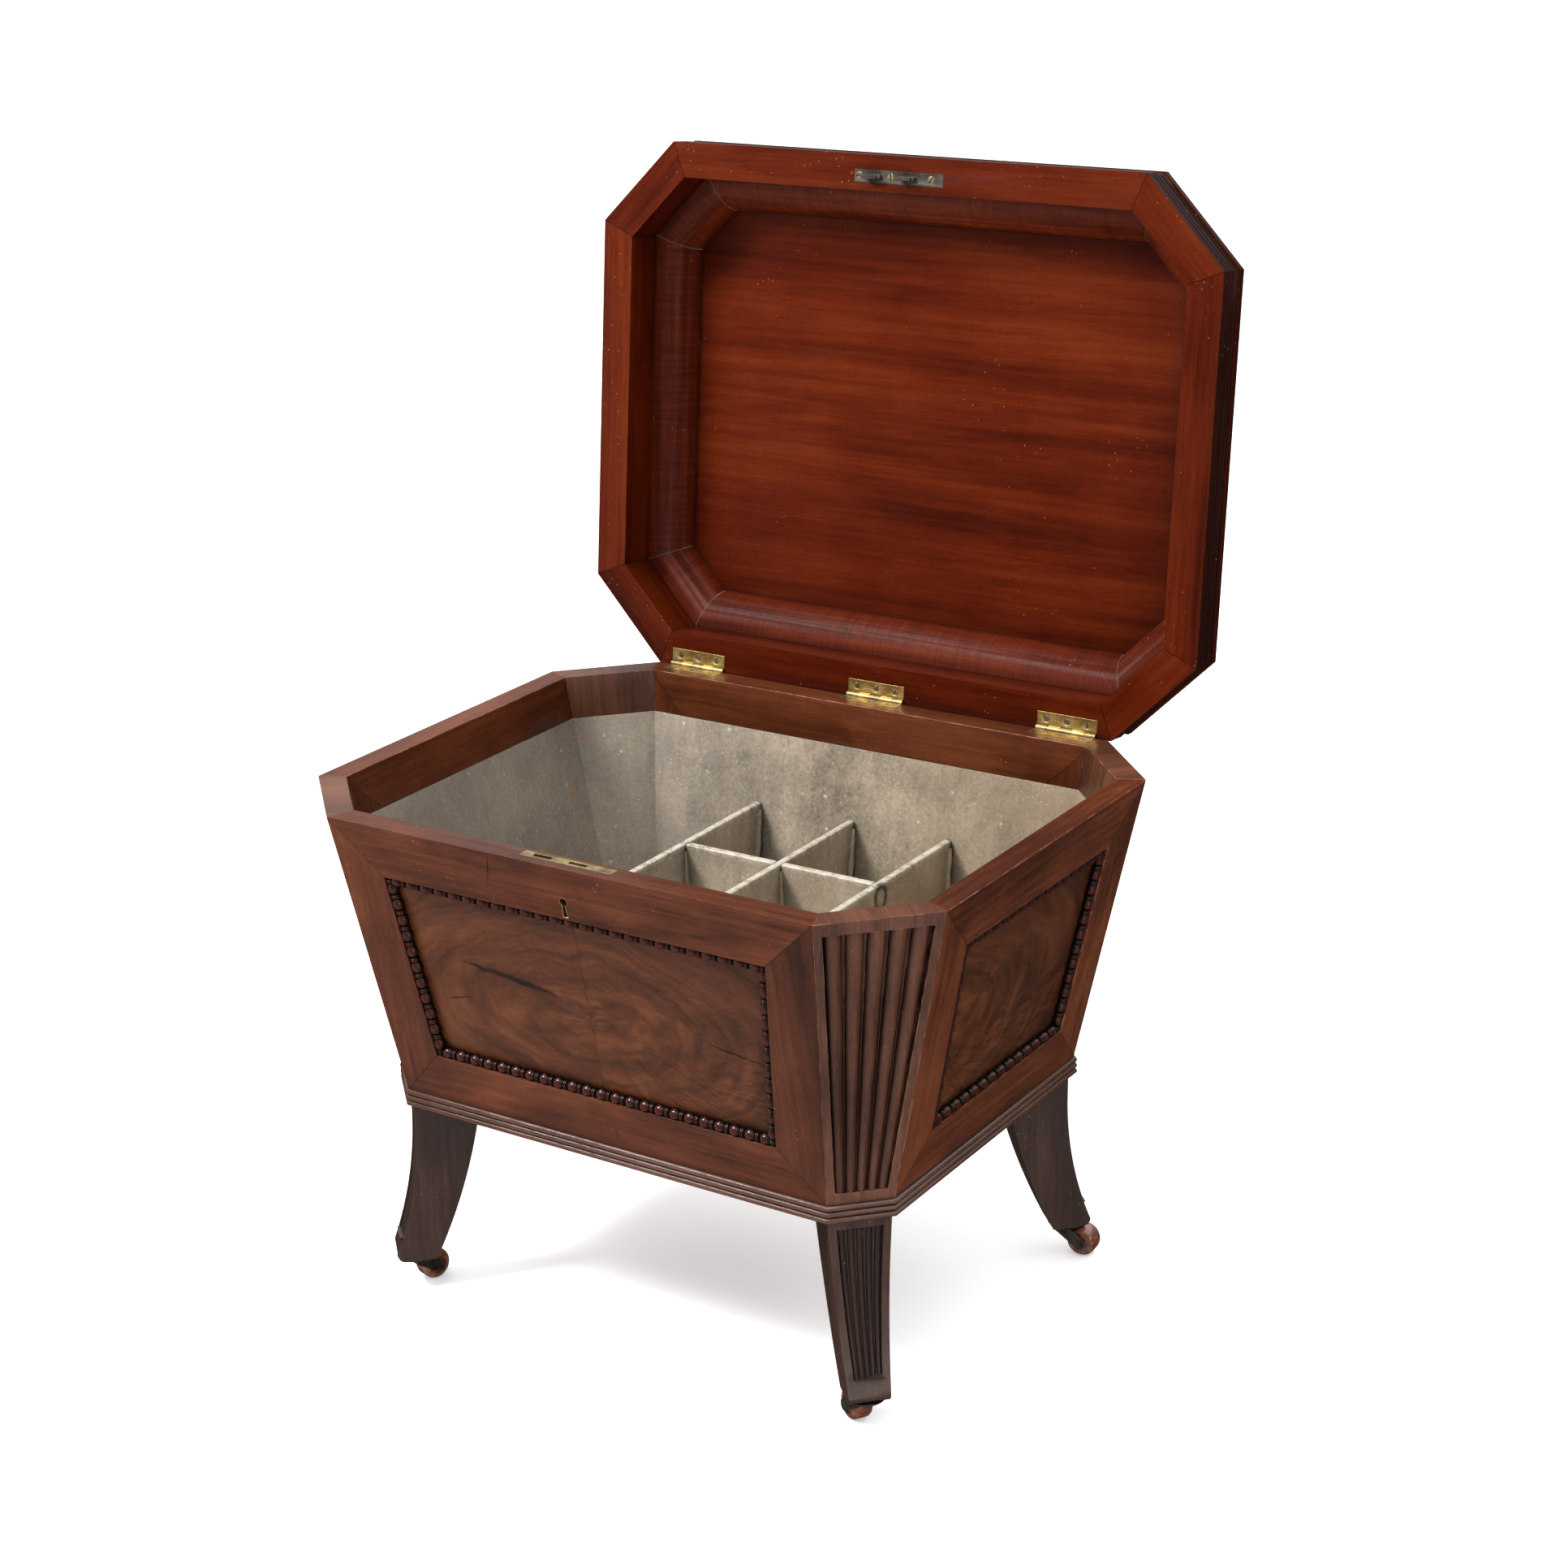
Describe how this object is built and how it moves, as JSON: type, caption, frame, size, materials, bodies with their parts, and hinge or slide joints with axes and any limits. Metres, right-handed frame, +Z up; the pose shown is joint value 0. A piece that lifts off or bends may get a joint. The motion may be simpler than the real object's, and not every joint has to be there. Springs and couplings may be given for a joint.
{
  "type": "cellarette",
  "caption": "Mahogany cellarette: tapered lead-lined chest with bottle partitions, hinged moulded lid, locking bolt and sabre legs on swivelling casters.",
  "frame": {"origin": "on the floor, in the middle of the chest's footprint, below the centre of the rim", "axes": "+X to the object's right seen from the front, -Y out of the front with the escutcheon, +Z up; the lid leans back over +Y at rest"},
  "size_m": [0.708, 0.6848, 1.0631],
  "materials": {
    "wood": "waxed mahogany",
    "lid_wood": "polished mahogany",
    "dark_wood": "dark waxed mahogany",
    "veneer": "figured mahogany veneer",
    "lead": "dull oxidised sheet lead",
    "brass": "aged",
    "lock_steel": "darkened",
    "caster_metal": "blackened",
    "glazed_wheel": "glossy brown glaze"
  },
  "bodies": {
    "chest": {"front_board": "wood", "front_right_corner": "wood", "right_board": "wood", "rear_right_corner": "wood", "back_board": "wood", "rear_left_corner": "wood", "left_board": "wood", "front_left_corner": "wood", "front_panel": "veneer", "front_bead_moulding": "dark_wood", "right_panel": "veneer", "right_bead_moulding": "dark_wood", "back_panel": "veneer", "back_bead_moulding": "dark_wood", "left_panel": "veneer", "left_bead_moulding": "dark_wood", "base_moulding": "dark_wood", "bottom_board": "wood", "lead_liner": "lead", "left_partition": "lead", "middle_partition": "lead", "right_partition": "lead", "rear_cross_partition": "lead", "front_cross_partition": "lead", "front_right_leg": "dark_wood", "rear_right_leg": "dark_wood", "rear_left_leg": "dark_wood", "front_left_leg": "dark_wood", "caster_plates": "caster_metal", "hinge_body_leaves": "brass", "lock_case": "brass", "escutcheon": "brass"},
    "lid": {"lid_frame": "lid_wood", "lid_cove": "lid_wood", "lid_top": "lid_wood", "hinge_lid_leaves": "brass", "strike_plate": "lock_steel"},
    "lock_bolt": {"lock_bolt": "lock_steel"},
    "front_right_caster": {"front_right_caster_fork": "caster_metal"},
    "front_right_wheel": {"front_right_caster_wheel": "glazed_wheel"},
    "rear_right_caster": {"rear_right_caster_fork": "caster_metal"},
    "rear_right_wheel": {"rear_right_caster_wheel": "glazed_wheel"},
    "rear_left_caster": {"rear_left_caster_fork": "caster_metal"},
    "rear_left_wheel": {"rear_left_caster_wheel": "glazed_wheel"},
    "front_left_caster": {"front_left_caster_fork": "caster_metal"},
    "front_left_wheel": {"front_left_caster_wheel": "glazed_wheel"}
  },
  "joints": [
    {"name": "lid_hinge", "type": "hinge", "parent": "chest", "child": "lid", "pos_m": [0, 0.2709, 0.52325], "axis": [1, 0, 0], "range_deg": [0, 96.5]},
    {"name": "lock_bolt_slide", "type": "slide", "parent": "chest", "child": "lock_bolt", "axis": [-1, 0, 0], "range_m": [0, 0.006]},
    {"name": "front_right_swivel", "type": "hinge", "parent": "chest", "child": "front_right_caster", "pos_m": [0.26412, -0.19412, 0.028], "axis": [0, 0, 1], "continuous": true},
    {"name": "front_right_roll", "type": "hinge", "parent": "front_right_caster", "child": "front_right_wheel", "pos_m": [0.24819, -0.18377, 0.0155], "axis": [-0.5446, -0.8387, 0], "continuous": true},
    {"name": "rear_right_swivel", "type": "hinge", "parent": "chest", "child": "rear_right_caster", "pos_m": [0.26412, 0.19412, 0.028], "axis": [0, 0, 1], "continuous": true},
    {"name": "rear_right_roll", "type": "hinge", "parent": "rear_right_caster", "child": "rear_right_wheel", "pos_m": [0.28305, 0.19578, 0.0155], "axis": [-0.0872, 0.9962, 0], "continuous": true},
    {"name": "rear_left_swivel", "type": "hinge", "parent": "chest", "child": "rear_left_caster", "pos_m": [-0.26412, 0.19412, 0.028], "axis": [0, 0, 1], "continuous": true},
    {"name": "rear_left_roll", "type": "hinge", "parent": "rear_left_caster", "child": "rear_left_wheel", "pos_m": [-0.28247, 0.19904, 0.0155], "axis": [-0.2588, -0.9659, 0], "continuous": true},
    {"name": "front_left_swivel", "type": "hinge", "parent": "chest", "child": "front_left_caster", "pos_m": [-0.26412, -0.19412, 0.028], "axis": [0, 0, 1], "continuous": true},
    {"name": "front_left_roll", "type": "hinge", "parent": "front_left_caster", "child": "front_left_wheel", "pos_m": [-0.2592, -0.17577, 0.0155], "axis": [-0.9659, 0.2588, 0], "continuous": true}
  ]
}
